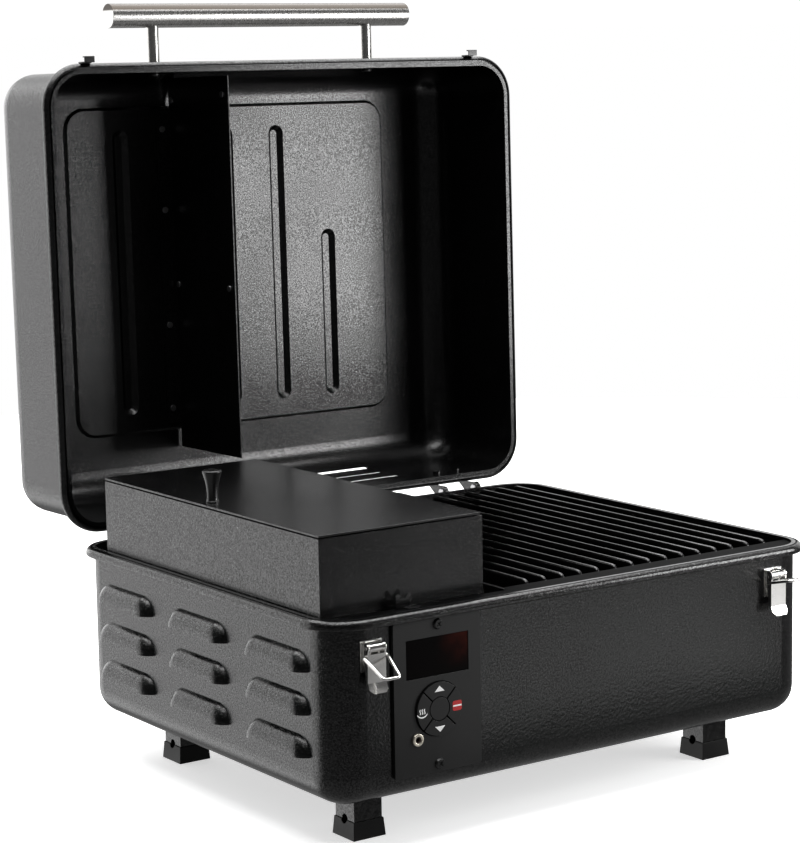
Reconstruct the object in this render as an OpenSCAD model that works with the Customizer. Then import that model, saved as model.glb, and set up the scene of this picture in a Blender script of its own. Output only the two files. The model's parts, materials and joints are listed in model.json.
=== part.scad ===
// Tabletop wood pellet grill: a deep sheet-steel tub on four feet, a deep hinged lid,
// a pellet hopper on the left, a cooking grate on the right and the feed, fan and
// fire pot under it. Millimetres. X right, Y back, Z up. The origin is on the floor,
// at the centre of the four feet.

/* [Overall size] */
// Width over the rolled rims
rim_w = 533; // [527:1:545]
// Depth over the rolled rims
rim_d = 436; // [434:1:446]
// Height of the tub's rim above the floor
rim_z = 201.5; // [201:0.5:206]
// Height of the lid from its mouth to its top skin
lid_h = 125; // [122:1:135]
// Angle the lid stands open at, measured from closed
lid_open = 91; // [80:1:91]

/* [Sheet metal] */
// Thickness of the tub and lid skins
skin_t = 1.5; // [1.3:0.1:1.6]
// Thickness of the inner sheet parts
sheet_t = 1.2; // [0.8:0.1:1.2]
// How far the rolled rims stand out from the walls
rim_out = 8; // [7.5:0.5:8.5]
// Height of the rolled rims
rim_h = 8; // [7.5:0.5:8.5]
// Radius of the upright corners of the walls
wall_r = 32; // [31:0.5:32]
// Radius between the tub's walls and its floor
tub_edge_r = 25; // [20:1:28]
// Radius between the lid's walls and its top
lid_edge_r = 30; // [24:1:30]

/* [Louvres] */
// Length of one louvre
louvre_l = 94; // [70:1:110]
// Height of one louvre
louvre_h = 17; // [14:1:20]
// How far a louvre stands out from the wall
louvre_out = 9; // [7:0.5:10]
// Distance between louvre columns
louvre_pitch_y = 127.5; // [118:0.5:130]
// Distance between louvre rows
louvre_pitch_z = 35.5; // [28:0.5:36]

/* [Handle] */
// Length of the handle's bar
handle_l = 340; // [280:5:400]
// Radius of the handle's bar
handle_r = 11.5; // [9:0.5:13]
// Distance from the lid's front wall to the bar's axis
handle_out = 52.6; // [45:0.1:60]

/* [Grate] */
// Number of bars
bar_count = 15; // [11:1:15]
// Distance between bars
bar_pitch = 19.5; // [15:0.1:19.9]
// Height of one bar
bar_h = 12; // [9:1:13]

/* [Latches] */
// Half the distance between the latches
latch_x = 218; // [205:1:222]
// Length of the wire bail from its pivot to its far bar
bail_l = 28; // [26:0.5:29]
// Radius of the bail's wire
bail_r = 1.3; // [0.9:0.1:1.3]
// Angle of the left bail below the horizontal
bail_droop = 30; // [0:1:60]
// Angle of the right bail above the horizontal
bail_lift = 13; // [0:1:60]

/* [Hidden] */
$fn = 48;

coat = "#19191a";
coat_inside = "#222222";
steel = "#b9bbbd";
nickel = "#d9d9d6";
plastic = "#2b2b2d";

// Tub and lid
wall_x = rim_w/2 - rim_out;
wall_y = rim_d/2 - rim_out;
in_x = wall_x - skin_t;
in_y = wall_y - skin_t;
tub_z = 44;
floor_z = tub_z + skin_t;
rim_edge_r = 1.5;
rim_top_r = 5;
louvre_t = 1.2;
louvre_flat = 3.5;
hem_t = 1.7;
hem_depth = 3;
groove_x = [2.2, 4];
groove_depth = 2.5;
lid_gap = 0.4;
lid_z = rim_z + lid_gap;
lid_top = lid_z + lid_h;
hinge_y = rim_d/2 + 7;
hinge_z = rim_z - 3;

// Lid top: a shallow recess with raised ribs in it
recess_w = 372;
recess_d = 323;
recess_y = -14.5;
recess_r = 22;
recess_h = 3;
rib_w = 18.5;
rib_h = 5;
rib_y = [-154, 128];
short_rib_y = [-45, 128];
rib_x = -6;
rib_pitch = 60;
recess_under = lid_top - recess_h - skin_t;

// Exhaust slots in the lid's back wall
slot_x = [-20, 142];
slot_h = 9;
slot_z = [40, 71, 102];

// Lid divider: its rivets as [y, height above the rim], and those along its top flange
divider_x = -69.5;
divider_flange = 16;
rivet_pos = [[-186.5, 16], [0, 15], [-182, 114], [0.5, 113]];
flange_rivet_y = [-154, -74, 41, 125];
rivet_r = 2;

// Left bay and cooking bay
partition_x = -72;
ledge_z = rim_z - 3.2;
ledge_back = [-190.5, -181.5];
rail_z = rim_z - 13.5;
grate_z = rim_z - 12;
grate_y = [-178, 205];
grate_x0 = -37.5;
bar_top_w = 5;
bar_foot_w = 3;
cross_w = 6;
cross_h = 6;
tray_z = 147.6;
tray_h = 14;

// Hopper
hopper_x = [-wall_x + 3.5, -92.8];
hopper_y = [-188.4, 168.1];
hopper_z = [186, 265.5];
hopper_flange = 8;
hopper_lid_z = [266.6, 268.5];
hopper_lid_x = [hopper_x[0], hopper_x[1] - 1.7];
hopper_hinge_y = [-85, 65];
hopper_hinge_l = 48;
hopper_axis = [-89.3, 264];
hopper_leaf_t = 0.75;
knuckle_r = 3;
hopper_pin_r = 1.2;
knob_pos = [-243, -4];

// Feed, fire and fan
auger_z = 82;
auger_tube_r = 20;
auger_x = [-212, 56];
throat_x = [-205, -100];
throat_y = 15;
throat_z = auger_z + auger_tube_r;
screw_r = 18;
screw_core_r = 6;
screw_shaft_r = 4;
screw_turns = 9;
pot_x = 90;
pot_r = 38;
pot_z = [floor_z + 1, 120];
box_x = [40, 140];
box_y = [-50, 84];
box_z = [floor_z + 0.2, 106];
igniter_z = 55;
igniter_r = 4;
fan_y = 54;
fan_z = 75.5;
fan_w = 58;
fan_x = [-140, -120];
fan_bore_r = 27;
duct_w = 56;

// Control panel
panel_x = [-202, -114.7];
panel_z = [63.5, rim_z - rim_h - 0.5];
panel_y = -wall_y - 3;
display_x = [-189.5, -127.3];
display_z = [144.5, 177.3];
pad_pos = [-158.2, 116.8];
pad_r = 23.1;
pad_gap = 0.6;
centre_r = 9.6;
button_out = 2;
board_y = -201;
socket_pos = [-179.7, 94];
screw_pos = [[-157.8, 187.4], [-157.8, 70.4]];

// Feet
foot_pos = [192.5, 144];
foot_w = 28;
foot_cap_z = 15.5;
foot_cap_w = [32.5, 30];
foot_bolt_r = 3;

// Latches, in a latch's own frame: x from its middle, y and z as the whole grill
latch_y = -wall_y - 6;
latch_shift = -4;
latch_z = 178;
latch_pin_r = 1.5;
bail_pivot = [-wall_y - 6.2, 171.5];
bail_half_w = [11.6, 7.9];
bend_swell = 1.08;
latch_ear_x = [6.2, 7.2];
lever_x = [7.6, 8.8];

// Lid hinges
hinge_x = 186;
hinge_ear_r = 6.6;
hinge_pin_r = 2.5;
hinge_ear_t = 2;
tub_ear_x = 20.5;
lid_ear_x = 18;

// Handle
handle_z = lid_z + 53;
handle_y = -wall_y - handle_out;
post_x = 122.7;
post_r = 6;

run_gap = 0.05;

// ---------- helpers ----------

module box(lo, hi) {
  translate(lo) cube(hi - lo);
}

// A 2D shape drawn in (Y, Z), run along X
module along_x(x0, x1) {
  translate([x0, 0, 0]) rotate([90, 0, 90]) linear_extrude(x1 - x0) children();
}

// A 2D shape drawn in (X, Z), run along Y
module along_y(y0, y1) {
  translate([0, y1, 0]) rotate([90, 0, 0]) linear_extrude(y1 - y0) children();
}

module rod_x(r, x0, x1, y, z) {
  along_x(x0, x1) translate([y, z]) circle(r);
}

module rod_y(r, y0, y1, x, z) {
  along_y(y0, y1) translate([x, z]) circle(r);
}

module both_sides() {
  children();
  mirror([1, 0, 0]) children();
}

module at_feet() {
  for (x = [-1, 1], y = [-1, 1]) translate([x*foot_pos[0], y*foot_pos[1], 0]) children();
}

module rounded_rect(w, d, r) {
  square([w, d - 2*r], center = true);
  square([w - 2*r, d], center = true);
  for (x = [-1, 1], y = [-1, 1]) translate([x*(w/2 - r), y*(d/2 - r)]) circle(r);
}

module stadium(x0, x1, h) {
  translate([x0 + h/2, -h/2]) square([x1 - x0 - h, h]);
  for (x = [x0 + h/2, x1 - h/2]) translate([x, 0]) circle(h/2);
}

// A 2D profile (x outwards, y up) carried round a rounded rectangle
module rect_sweep(w, d, r) {
  for (m = [0, 1]) {
    mirror([0, m, 0]) translate([0, d/2, 0]) along_x(r - w/2, w/2 - r) children();
    mirror([m, 0, 0]) translate([w/2, 0, 0]) along_y(r - d/2, d/2 - r) children();
    for (k = [0, 1]) mirror([m, 0, 0]) mirror([0, k, 0])
      translate([w/2 - r, d/2 - r, 0]) rotate_extrude(angle = 90) translate([r, 0]) children();
  }
}

// A block with rounded upright corners and a rounded lower edge
module tray_solid(w, d, h, corner_r, edge_r) {
  translate([0, 0, edge_r]) linear_extrude(h - edge_r) rounded_rect(w, d, corner_r);
  linear_extrude(edge_r) rounded_rect(w - 2*edge_r, d - 2*edge_r, corner_r - edge_r);
  translate([0, 0, edge_r]) rect_sweep(w - 2*edge_r, d - 2*edge_r, corner_r - edge_r)
    intersection() {
      circle(edge_r);
      translate([0, -edge_r]) square(edge_r);
    }
}

// A plate whose sides lean in at 45 degrees as it rises
module drafted_plate(w, d, r, h) {
  linear_extrude(h) rounded_rect(w - 2*h, d - 2*h, r - h);
  rect_sweep(w - 2*h, d - 2*h, r - h) polygon([[0, 0], [h, 0], [0, h]]);
}

// A straight rib along Y with round ends and 45 degree sides
module rib(y0, y1, w, h) {
  for (y = [y0 + w/2, y1 - w/2]) translate([0, y, 0]) cylinder(r1 = w/2, r2 = w/2 - h, h = h);
  along_y(y0 + w/2, y1 - w/2) polygon([[-w/2, 0], [w/2, 0], [w/2 - h, h], [h - w/2, h]]);
}

// The space inside the tub, drawn in by a gap all round
module cavity(gap) {
  inset = skin_t + gap;
  translate([0, 0, tub_z + inset])
    tray_solid(2*(wall_x - inset), 2*(wall_y - inset), 300, wall_r - inset, tub_edge_r - inset);
}

// The space inside the lid, closed, drawn in by a gap
module lid_cavity(gap, depth) {
  inset = skin_t + gap;
  translate([0, 0, lid_top - inset]) mirror([0, 0, 1])
    tray_solid(2*(wall_x - inset), 2*(wall_y - inset), depth, wall_r - inset, lid_edge_r - inset);
}

// Turns a lid part from closed to where the lid stands
module on_lid() {
  translate([0, hinge_y, hinge_z]) rotate([-lid_open, 0, 0]) translate([0, -hinge_y, -hinge_z])
    children();
}

// Section of a rolled rim: rounded outwards at its mating face, a hem open on its far side,
// and a groove along its mating face
module rim_profile() {
  difference() {
    union() {
      translate([-skin_t, 0]) square([skin_t + rim_out - rim_top_r, rim_h]);
      translate([0, rim_edge_r]) square([rim_out, rim_h - rim_top_r - rim_edge_r]);
      square([rim_out - rim_edge_r, rim_h - rim_top_r]);
      translate([rim_out - rim_edge_r, rim_edge_r]) circle(rim_edge_r);
      intersection() {
        translate([rim_out - rim_top_r, rim_h - rim_top_r]) circle(rim_top_r);
        translate([0, rim_h - rim_top_r]) square([rim_out, rim_top_r]);
      }
    }
    translate([0, -1]) square([rim_out - hem_t, hem_depth + 1]);
    translate([groove_x[0], rim_h - groove_depth]) square([groove_x[1] - groove_x[0], groove_depth + 1]);
  }
}

// ---------- tub ----------

// A louvre's section: x up from its open edge, y outwards, flat near the edge and then an arc
// that meets the wall at height h. Cut again with a thickness t, it leaves a sheet that thick.
module louvre_section(t, under) {
  rise = louvre_h - louvre_flat;
  arc_r = (pow(louvre_out, 2) + pow(rise, 2))/(2*louvre_out);
  foot = louvre_flat + sqrt(pow(arc_r - t, 2) - pow(arc_r - louvre_out, 2));
  intersection() {
    translate([louvre_flat, louvre_out - arc_r]) circle(arc_r - t);
    translate([louvre_flat, 0]) square([louvre_h, louvre_out + 1]);
  }
  translate([0, -under]) square([louvre_flat, louvre_out - t + under]);
  translate([0, -under]) square([foot, under]);
}

// A louvre lying on the wall: x along it, y up, z outwards, open along y = 0
module louvre(t, under) {
  straight = louvre_l/2 - louvre_h;
  along_x(-straight, straight) louvre_section(t, under);
  for (m = [0, 1]) mirror([m, 0, 0]) translate([straight, 0, 0])
    rotate_extrude(angle = 90) louvre_section(t, under);
}

module at_louvres() {
  for (column = [-1:1], row = [0:2])
    translate([-wall_x, column*louvre_pitch_y, 84 + row*louvre_pitch_z]) rotate([90, 0, -90]) children();
}

module tub_holes() {
  box([panel_x[0] + 8, -wall_y - 1, 78], [panel_x[1] - 8, 1 - in_y, 180]);
  for (p = screw_pos) rod_y(1.6, -wall_y - 1, 1 - in_y, p[0], p[1]);
  box([-198.7, in_y - 1, 89.8], [-171.3, wall_y + 1, 110.2]);
  at_feet() translate([0, 0, tub_z - 1]) cylinder(r = foot_bolt_r + 0.2, h = skin_t + 2);
  both_sides() for (s = [-12, 12]) rod_y(2.6, in_y - 1, wall_y + 1, hinge_x + s, 174);
}

module tub() {
  color(coat) difference() {
    union() {
      difference() {
        translate([0, 0, tub_z])
          tray_solid(2*wall_x, 2*wall_y, rim_z - rim_h - tub_z, wall_r, tub_edge_r);
        cavity(0);
      }
      translate([0, 0, rim_z - rim_h]) rect_sweep(2*wall_x, 2*wall_y, wall_r) rim_profile();
      at_louvres() louvre(0, 0.5);
    }
    at_louvres() louvre(louvre_t, skin_t + 0.5);
    tub_holes();
  }
}

// Shelf between the front rim, the hopper and the grate
module front_ledge() {
  color(coat_inside) intersection() {
    cavity(0.3);
    union() {
      box([-wall_x, -wall_y, ledge_z], [wall_x, ledge_back[0], ledge_z + sheet_t]);
      box([partition_x + 1, -wall_y, ledge_z], [wall_x, ledge_back[1], ledge_z + sheet_t]);
    }
  }
}

module partition_wall() {
  color(coat_inside) difference() {
    intersection() {
      cavity(0.3);
      along_x(partition_x - sheet_t/2, partition_x + sheet_t/2) polygon([
        [-wall_y, floor_z], [wall_y, floor_z], [wall_y, rim_z - 1],
        [ledge_back[0] + 0.5, rim_z - 1], [ledge_back[0] + 0.5, ledge_z - 0.5], [-wall_y, ledge_z - 0.5]
      ]);
    }
    rod_x(auger_tube_r + 0.2, partition_x - 5, partition_x + 5, 0, auger_z);
    rod_x(igniter_r + 0.3, partition_x - 5, partition_x + 5, 0, igniter_z);
    rod_x(3.2, partition_x - 5, partition_x + 5, 120, 175);
    box([partition_x - 5, fan_y - duct_w/2 - 0.2, fan_z - duct_w/2 - 0.2],
        [partition_x + 5, fan_y + duct_w/2 + 0.2, fan_z + duct_w/2 + 0.2]);
  }
}

// Angle strips that the grate and the drip tray rest on
module support_rails() {
  front = ledge_back[1];
  back = in_y - 0.3;
  left = partition_x + sheet_t/2 + 0.1;
  right = in_x - 0.3;
  color(coat_inside) {
    box([-60, front - sheet_t, rail_z], [220, front + 12, rail_z + sheet_t]);
    box([-60, front - sheet_t, rail_z + sheet_t], [220, front, ledge_z]);
    box([-60, back - 12, rail_z], [220, back, rail_z + sheet_t]);
    box([-60, back - sheet_t, rail_z - 8], [220, back, rail_z]);
    box([left, -120, tray_z - 0.2 - sheet_t], [left + 13, 110, tray_z - 0.2]);
    box([left, -120, tray_z - 12], [left + sheet_t, 110, tray_z - 0.2 - sheet_t]);
    box([right - 13, -120, tray_z - 0.2 - sheet_t], [right, 120, tray_z - 0.2]);
    box([right - sheet_t, -120, tray_z - 12], [right, 120, tray_z - 0.2 - sheet_t]);
  }
}

module drip_tray() {
  x = [partition_x + 8, in_x - 8];
  y = [-165, 190];
  size = [x[1] - x[0], y[1] - y[0]];
  color(coat_inside) translate([(x[0] + x[1])/2, (y[0] + y[1])/2, tray_z]) difference() {
    linear_extrude(tray_h) rounded_rect(size[0], size[1], 15);
    translate([0, 0, sheet_t]) linear_extrude(tray_h)
      rounded_rect(size[0] - 2*sheet_t, size[1] - 2*sheet_t, 15 - sheet_t);
    translate([size[0]/2 - 30, 30 - size[1]/2, -1]) cylinder(r = 6, h = 4);
  }
}

// Plate over the fire pot, on two legs
module heat_baffle() {
  color(steel) {
    box([20, -80, 128], [160, 105, 128 + sheet_t]);
    box([60, box_y[0] + 1, box_z[1]], [120, box_y[0] + 1 + sheet_t, 128]);
    box([60, box_y[1] - 1 - sheet_t, box_z[1]], [120, box_y[1] - 1, 128]);
  }
}

module fire_pot() {
  color(steel) difference() {
    translate([pot_x, 0, 0]) union() {
      translate([0, 0, pot_z[0]]) cylinder(r = pot_r, h = pot_z[1] - pot_z[0]);
      translate([0, 0, box_z[1]]) cylinder(r = pot_r + 8, h = 1.5);
    }
    translate([pot_x, 0, pot_z[0] + 2]) cylinder(r = pot_r - 2, h = 100);
    rod_x(auger_tube_r + 0.2, box_x[0], pot_x, 0, auger_z);
    rod_x(igniter_r + 0.3, box_x[0], pot_x, 0, igniter_z);
    for (z = [62, 74], a = [-120:30:120]) translate([pot_x, 0, z]) rotate([0, 90, a])
      cylinder(r = 2, h = pot_r + 5);
  }
}

// Air box that holds the fire pot
module fire_box() {
  color(steel) difference() {
    box([box_x[0], box_y[0], box_z[0]], [box_x[1], box_y[1], box_z[1]]);
    box([box_x[0] + sheet_t, box_y[0] + sheet_t, box_z[0] - 1],
        [box_x[1] - sheet_t, box_y[1] - sheet_t, box_z[1] - sheet_t]);
    translate([pot_x, 0, box_z[1] - 5]) cylinder(r = pot_r + 0.3, h = 10);
    rod_x(auger_tube_r + 0.2, box_x[0] - 1, box_x[0] + 5, 0, auger_z);
    rod_x(igniter_r + 0.3, box_x[0] - 1, box_x[0] + 5, 0, igniter_z);
    box([box_x[0] - 1, fan_y - 26, fan_z - 26], [box_x[0] + 5, fan_y + 26, fan_z + 26]);
  }
}

module igniter_rod() {
  color("#8d8f92") {
    rod_x(igniter_r, -86, 60, 0, igniter_z);
    rod_x(igniter_r + 3, -90, -86, 0, igniter_z);
  }
}

module air_duct() {
  half = duct_w/2;
  color(steel) difference() {
    box([fan_x[1] + 0.2, fan_y - half, fan_z - half], [box_x[0] - 0.2, fan_y + half, fan_z + half]);
    box([fan_x[1] - 1, fan_y - half + 1, fan_z - half + 1], [box_x[0] + 1, fan_y + half - 1, fan_z + half - 1]);
  }
}

// Square frame of the air fan, with the struts and stub shaft that carry the impeller
module fan_frame() {
  half = fan_w/2;
  color(plastic) {
    difference() {
      box([fan_x[0], fan_y - half, fan_z - half], [fan_x[1], fan_y + half, fan_z + half]);
      rod_x(fan_bore_r, fan_x[0] - 1, fan_x[1] + 1, fan_y, fan_z);
    }
    translate([fan_x[0], fan_y, fan_z]) rotate([0, 90, 0]) {
      cylinder(r = 11, h = 3);
      cylinder(r = 1.5, h = 14);
      for (a = [45:90:315]) rotate([0, 0, a]) translate([10, -1.5, 0]) cube([fan_bore_r - 9.5, 3, 3]);
    }
  }
}

module fan_impeller() {
  blade_l = 15;
  color(plastic) translate([fan_x[0] + 4, fan_y, fan_z]) rotate([0, 90, 0]) difference() {
    union() {
      cylinder(r = 10.5, h = 13);
      for (a = [0:360/7:359]) rotate([0, 0, a]) translate([9.5, 0, 6.5]) rotate([38, 0, 0])
        translate([0, -0.7, -6]) cube([blade_l, 1.4, 12]);
    }
    translate([0, 0, -1]) cylinder(r = 1.5 + run_gap, h = 12);
  }
}

// Feed tube with a square mouth under the hopper and an end plate at the gearbox
module auger_tube() {
  wall = 1.2;
  color(steel) difference() {
    union() {
      rod_x(auger_tube_r, auger_x[0], auger_x[1], 0, auger_z);
      box([throat_x[0] - wall, -throat_y - wall, auger_z], [throat_x[1] + wall, throat_y + wall, throat_z]);
      box([auger_x[0] - 2, -26, auger_z - 22], [auger_x[0], 26, auger_z + 20]);
    }
    rod_x(auger_tube_r - wall, auger_x[0], auger_x[1] + 1, 0, auger_z);
    rod_x(screw_shaft_r + 0.5, auger_x[0] - 3, auger_x[0] + 1, 0, auger_z);
    box([throat_x[0], -throat_y, auger_z], [throat_x[1], throat_y, throat_z + 1]);
  }
}

module auger_screw() {
  flight_x = [auger_x[0] + 4, auger_x[1] - 4];
  color("#77797c") {
    rod_x(screw_shaft_r, auger_x[0] - 12, auger_x[0] + 4, 0, auger_z);
    rod_x(screw_core_r, flight_x[0], flight_x[1], 0, auger_z);
    translate([flight_x[0], 0, auger_z]) rotate([0, 90, 0])
      linear_extrude(flight_x[1] - flight_x[0], twist = 360*screw_turns, slices = 16*screw_turns, $fn = 12)
        translate([0, -1.5]) square([screw_r, 3]);
  }
}

module auger_gearbox() {
  color("#55575a") difference() {
    box([-250, -27, auger_z - 21], [auger_x[0] - 2.2, 27, auger_z + 24]);
    rod_x(screw_shaft_r + run_gap, auger_x[0] - 14, auger_x[0], 0, auger_z);
  }
}

module auger_motor() {
  color("#9a9ca0") {
    rod_y(17, 27, 74, -232, auger_z + 1);
    rod_y(5, 74, 78, -232, auger_z + 1);
  }
}

// ---------- hopper ----------

// Open box with a rim turned in round its top
module hopper_box() {
  t = sheet_t;
  f = hopper_flange;
  color(coat) difference() {
    box([hopper_x[0], hopper_y[0], hopper_z[0]], [hopper_x[1], hopper_y[1], hopper_z[1]]);
    box([hopper_x[0] + t, hopper_y[0] + t, hopper_z[0] - 1],
        [hopper_x[1] - t, hopper_y[1] - t, hopper_z[1] - t]);
    box([hopper_x[0] + f, hopper_y[0] + f, hopper_z[0]],
        [hopper_x[1] - f, hopper_y[1] - f, hopper_z[1] + 1]);
  }
}

// Four-sided funnel from the box down to the feed tube's mouth
module hopper_funnel() {
  t = sheet_t;
  neck_z = hopper_z[0] + 2;
  top_x = [hopper_x[0] + t + 0.1, hopper_x[1] - t - 0.1];
  top_y = [hopper_y[0] + t + 0.1, hopper_y[1] - t - 0.1];
  foot_x = [throat_x[0] - t, throat_x[1] + t];
  foot_y = throat_y + t;
  rise = t/cos(30);
  color(coat_inside) difference() {
    union() {
      intersection() {
        along_y(top_y[0], top_y[1]) polygon([
          [foot_x[0], throat_z], [foot_x[1], throat_z], [top_x[1], neck_z], [top_x[0], neck_z]
        ]);
        along_x(top_x[0], top_x[1]) polygon([
          [-foot_y, throat_z], [foot_y, throat_z], [top_y[1], neck_z], [top_y[0], neck_z]
        ]);
      }
      box([top_x[0], top_y[0], neck_z], [top_x[1], top_y[1], neck_z + 8]);
    }
    intersection() {
      along_y(top_y[0], top_y[1]) polygon([
        [foot_x[0] + t, throat_z - 1], [foot_x[1] - t, throat_z - 1],
        [top_x[1] - t, neck_z + 1], [top_x[0] + 2*t, neck_z + 1]
      ]);
      along_x(top_x[0], top_x[1]) polygon([
        [-foot_y, throat_z + rise], [foot_y, throat_z + rise],
        [top_y[1] - t, neck_z + 1], [top_y[0] + t, neck_z + 1]
      ]);
    }
    box([throat_x[0], -throat_y, throat_z - 1], [throat_x[1], throat_y, throat_z + 4]);
    box([top_x[0] + 2*t, top_y[0] + t, neck_z], [top_x[1] - t, top_y[1] - t, neck_z + 9]);
  }
}

// Plate with a locating frame under it that drops into the box's mouth
module hopper_lid() {
  inset = hopper_flange + 1.5;
  x = [hopper_x[0] + inset, hopper_x[1] - inset];
  y = [hopper_y[0] + inset, hopper_y[1] - inset];
  color(coat) {
    box([hopper_lid_x[0], hopper_y[0], hopper_lid_z[0]], [hopper_lid_x[1], hopper_y[1], hopper_lid_z[1]]);
    difference() {
      box([x[0], y[0], hopper_z[1] - 6], [x[1], y[1], hopper_lid_z[0]]);
      box([x[0] + sheet_t, y[0] + sheet_t, hopper_z[1] - 7], [x[1] - sheet_t, y[1] - sheet_t, hopper_lid_z[0]]);
    }
  }
}

module hopper_knob() {
  color("#2a2a2c") translate([knob_pos[0], knob_pos[1], hopper_lid_z[1]]) rotate_extrude() polygon([
    [0, 0], [5.6, 0], [5.2, 4], [5.2, 9], [5.8, 15], [7.2, 21], [8.3, 25], [8.5, 26.4], [7.6, 28], [0, 28]
  ]);
}

module hopper_bumpers() {
  color("black") for (y = [hopper_y[0] + 20, hopper_y[1] - 20])
    translate([hopper_x[0] + 4.5, y, hopper_z[1]]) cylinder(r = 2.8, h = hopper_lid_z[0] - hopper_z[1]);
}

module hopper_knuckle(y0, y1) {
  rod_y(knuckle_r, y0, y1, hopper_axis[0], hopper_axis[1]);
}

module hopper_pin_bore(y, r) {
  rod_y(r, y - hopper_hinge_l, y + hopper_hinge_l, hopper_axis[0], hopper_axis[1]);
}

module hopper_hinge_leaves() {
  half = hopper_hinge_l/2;
  third = hopper_hinge_l/6;
  color(coat) for (y = hopper_hinge_y) difference() {
    union() {
      box([hopper_x[1], y - half, 248], [hopper_x[1] + sheet_t, y + half, hopper_axis[1] - knuckle_r - 1]);
      for (s = [[-half, -third - 0.2], [third + 0.2, half]]) {
        hopper_knuckle(y + s[0], y + s[1]);
        box([hopper_x[1], y + s[0], 255], [hopper_x[1] + sheet_t, y + s[1], hopper_axis[1]]);
      }
    }
    hopper_pin_bore(y, hopper_pin_r);
  }
}

// Leaves under the lid, in the gap over the box's rim
module hopper_lid_leaves() {
  half = hopper_hinge_l/2;
  third = hopper_hinge_l/6;
  x = hopper_lid_x[1] - 7;
  z = [hopper_lid_z[0] - hopper_leaf_t, hopper_lid_z[0]];
  color(coat) for (y = hopper_hinge_y) difference() {
    union() {
      hopper_knuckle(y - third, y + third);
      box([x, y - third, z[0]], [hopper_axis[0], y + third, z[1]]);
      box([x, y - half, z[0]], [hopper_lid_x[1], y + half, z[1]]);
    }
    hopper_pin_bore(y, hopper_pin_r + run_gap);
  }
}

module hopper_hinge_pins() {
  half = hopper_hinge_l/2;
  color(steel) for (y = hopper_hinge_y)
    rod_y(hopper_pin_r, y - half, y + half, hopper_axis[0], hopper_axis[1]);
}

// ---------- controls ----------

module control_panel() {
  window = 3;
  color("#2f2f31") difference() {
    along_y(panel_y, -wall_y) translate([(panel_x[0] + panel_x[1])/2, (panel_z[0] + panel_z[1])/2])
      rounded_rect(panel_x[1] - panel_x[0], panel_z[1] - panel_z[0], 2.5);
    box([display_x[0], panel_y - 1, display_z[0]], [display_x[1], panel_y + 1.8, display_z[1]]);
    box([display_x[0] + window, panel_y, display_z[0] + window],
        [display_x[1] - window, -wall_y + 1, display_z[1] - window]);
    rod_y(pad_r, panel_y - 1, -wall_y + 1, pad_pos[0], pad_pos[1]);
    rod_y(4.1, panel_y - 1, -wall_y + 1, socket_pos[0], socket_pos[1]);
    for (p = screw_pos) rod_y(2.2, panel_y - 1, -wall_y + 1, p[0], p[1]);
  }
}

module display_lens() {
  color("#3a0f0c") box([display_x[0] + 0.2, panel_y + 0.4, display_z[0] + 0.2],
                       [display_x[1] - 0.2, panel_y + 1.8, display_z[1] - 0.2]);
}

// Circuit board with its display block, its switches under the buttons and its posts
module controller_board() {
  color("#1f4a33") {
    box([-195, board_y, 64], [-125, board_y + 1.6, 180]);
    box([display_x[0] + 4, board_y - 5, display_z[0] + 4], [display_x[1] - 4, board_y, display_z[1] - 4]);
    for (x = [-190.5, -128], z = [84, 143]) rod_y(2.8, board_y - 9, board_y, x, z);
    for (p = [[0, 0], [0, 17], [0, -17], [17, 0], [-17, 0]])
      rod_y(2, board_y - 2.5, board_y, pad_pos[0] + p[0], pad_pos[1] + p[1]);
    box([-180, board_y + 1.6, 120], [-140, board_y + 9, 150]);
  }
}

module probe_socket() {
  color(steel) difference() {
    union() {
      rod_y(5.4, panel_y - 2, panel_y, socket_pos[0], socket_pos[1]);
      rod_y(4, panel_y, board_y - 0.3, socket_pos[0], socket_pos[1]);
    }
    rod_y(1.8, panel_y - 3, board_y - 1.5, socket_pos[0], socket_pos[1]);
  }
}

module panel_screws() {
  color("#1c1c1d") for (p = screw_pos) translate([p[0], panel_y, p[1]]) difference() {
    union() {
      rotate([90, 0, 0]) cylinder(r1 = 4.8, r2 = 3.6, h = 2);
      rotate([-90, 0, 0]) cylinder(r = 1.5, h = 7);
    }
    for (a = [45, 135]) rotate([0, a, 0]) translate([-2.4, -2.2, -0.5]) cube([4.8, 1.4, 1]);
  }
}

// One quarter of the button ring, and the stem behind it
module ring_button(angle) {
  color("#353537") {
    along_y(panel_y - button_out, -wall_y + 2) translate(pad_pos) rotate(angle) intersection() {
      difference() {
        circle(pad_r - pad_gap);
        circle(centre_r + pad_gap);
      }
      translate([pad_gap, pad_gap]) square(pad_r);
    }
    rod_y(2, -wall_y + 2, board_y - 4, pad_pos[0] + 17*cos(angle + 45), pad_pos[1] + 17*sin(angle + 45));
  }
}

module button_up() { ring_button(45); }
module button_left() { ring_button(135); }
module button_down() { ring_button(225); }
module button_right() { ring_button(315); }

module button_centre() {
  color("#353537") {
    rod_y(centre_r, panel_y - button_out, -wall_y + 2, pad_pos[0], pad_pos[1]);
    rod_y(2, -wall_y + 2, board_y - 4, pad_pos[0], pad_pos[1]);
  }
}

module temperature_sensor() {
  color(steel) {
    rod_x(3, -90, -22, 120, 175);
    rod_x(9, partition_x + 1, partition_x + 3, 120, 175);
  }
}

module power_inlet() {
  color(plastic) {
    difference() {
      union() {
        box([-198.5, 190, 90], [-171.5, wall_y, 110]);
        box([-205, wall_y, 86], [-165, wall_y + 2.5, 114]);
      }
      box([-197, 194, 92], [-173, wall_y + 3, 108]);
    }
    for (p = [[-190, 98], [-180, 98], [-185, 103]])
      box([p[0] - 1, 193.9, p[1] - 2], [p[0] + 1, wall_y - 2, p[1] + 2]);
  }
}

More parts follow.
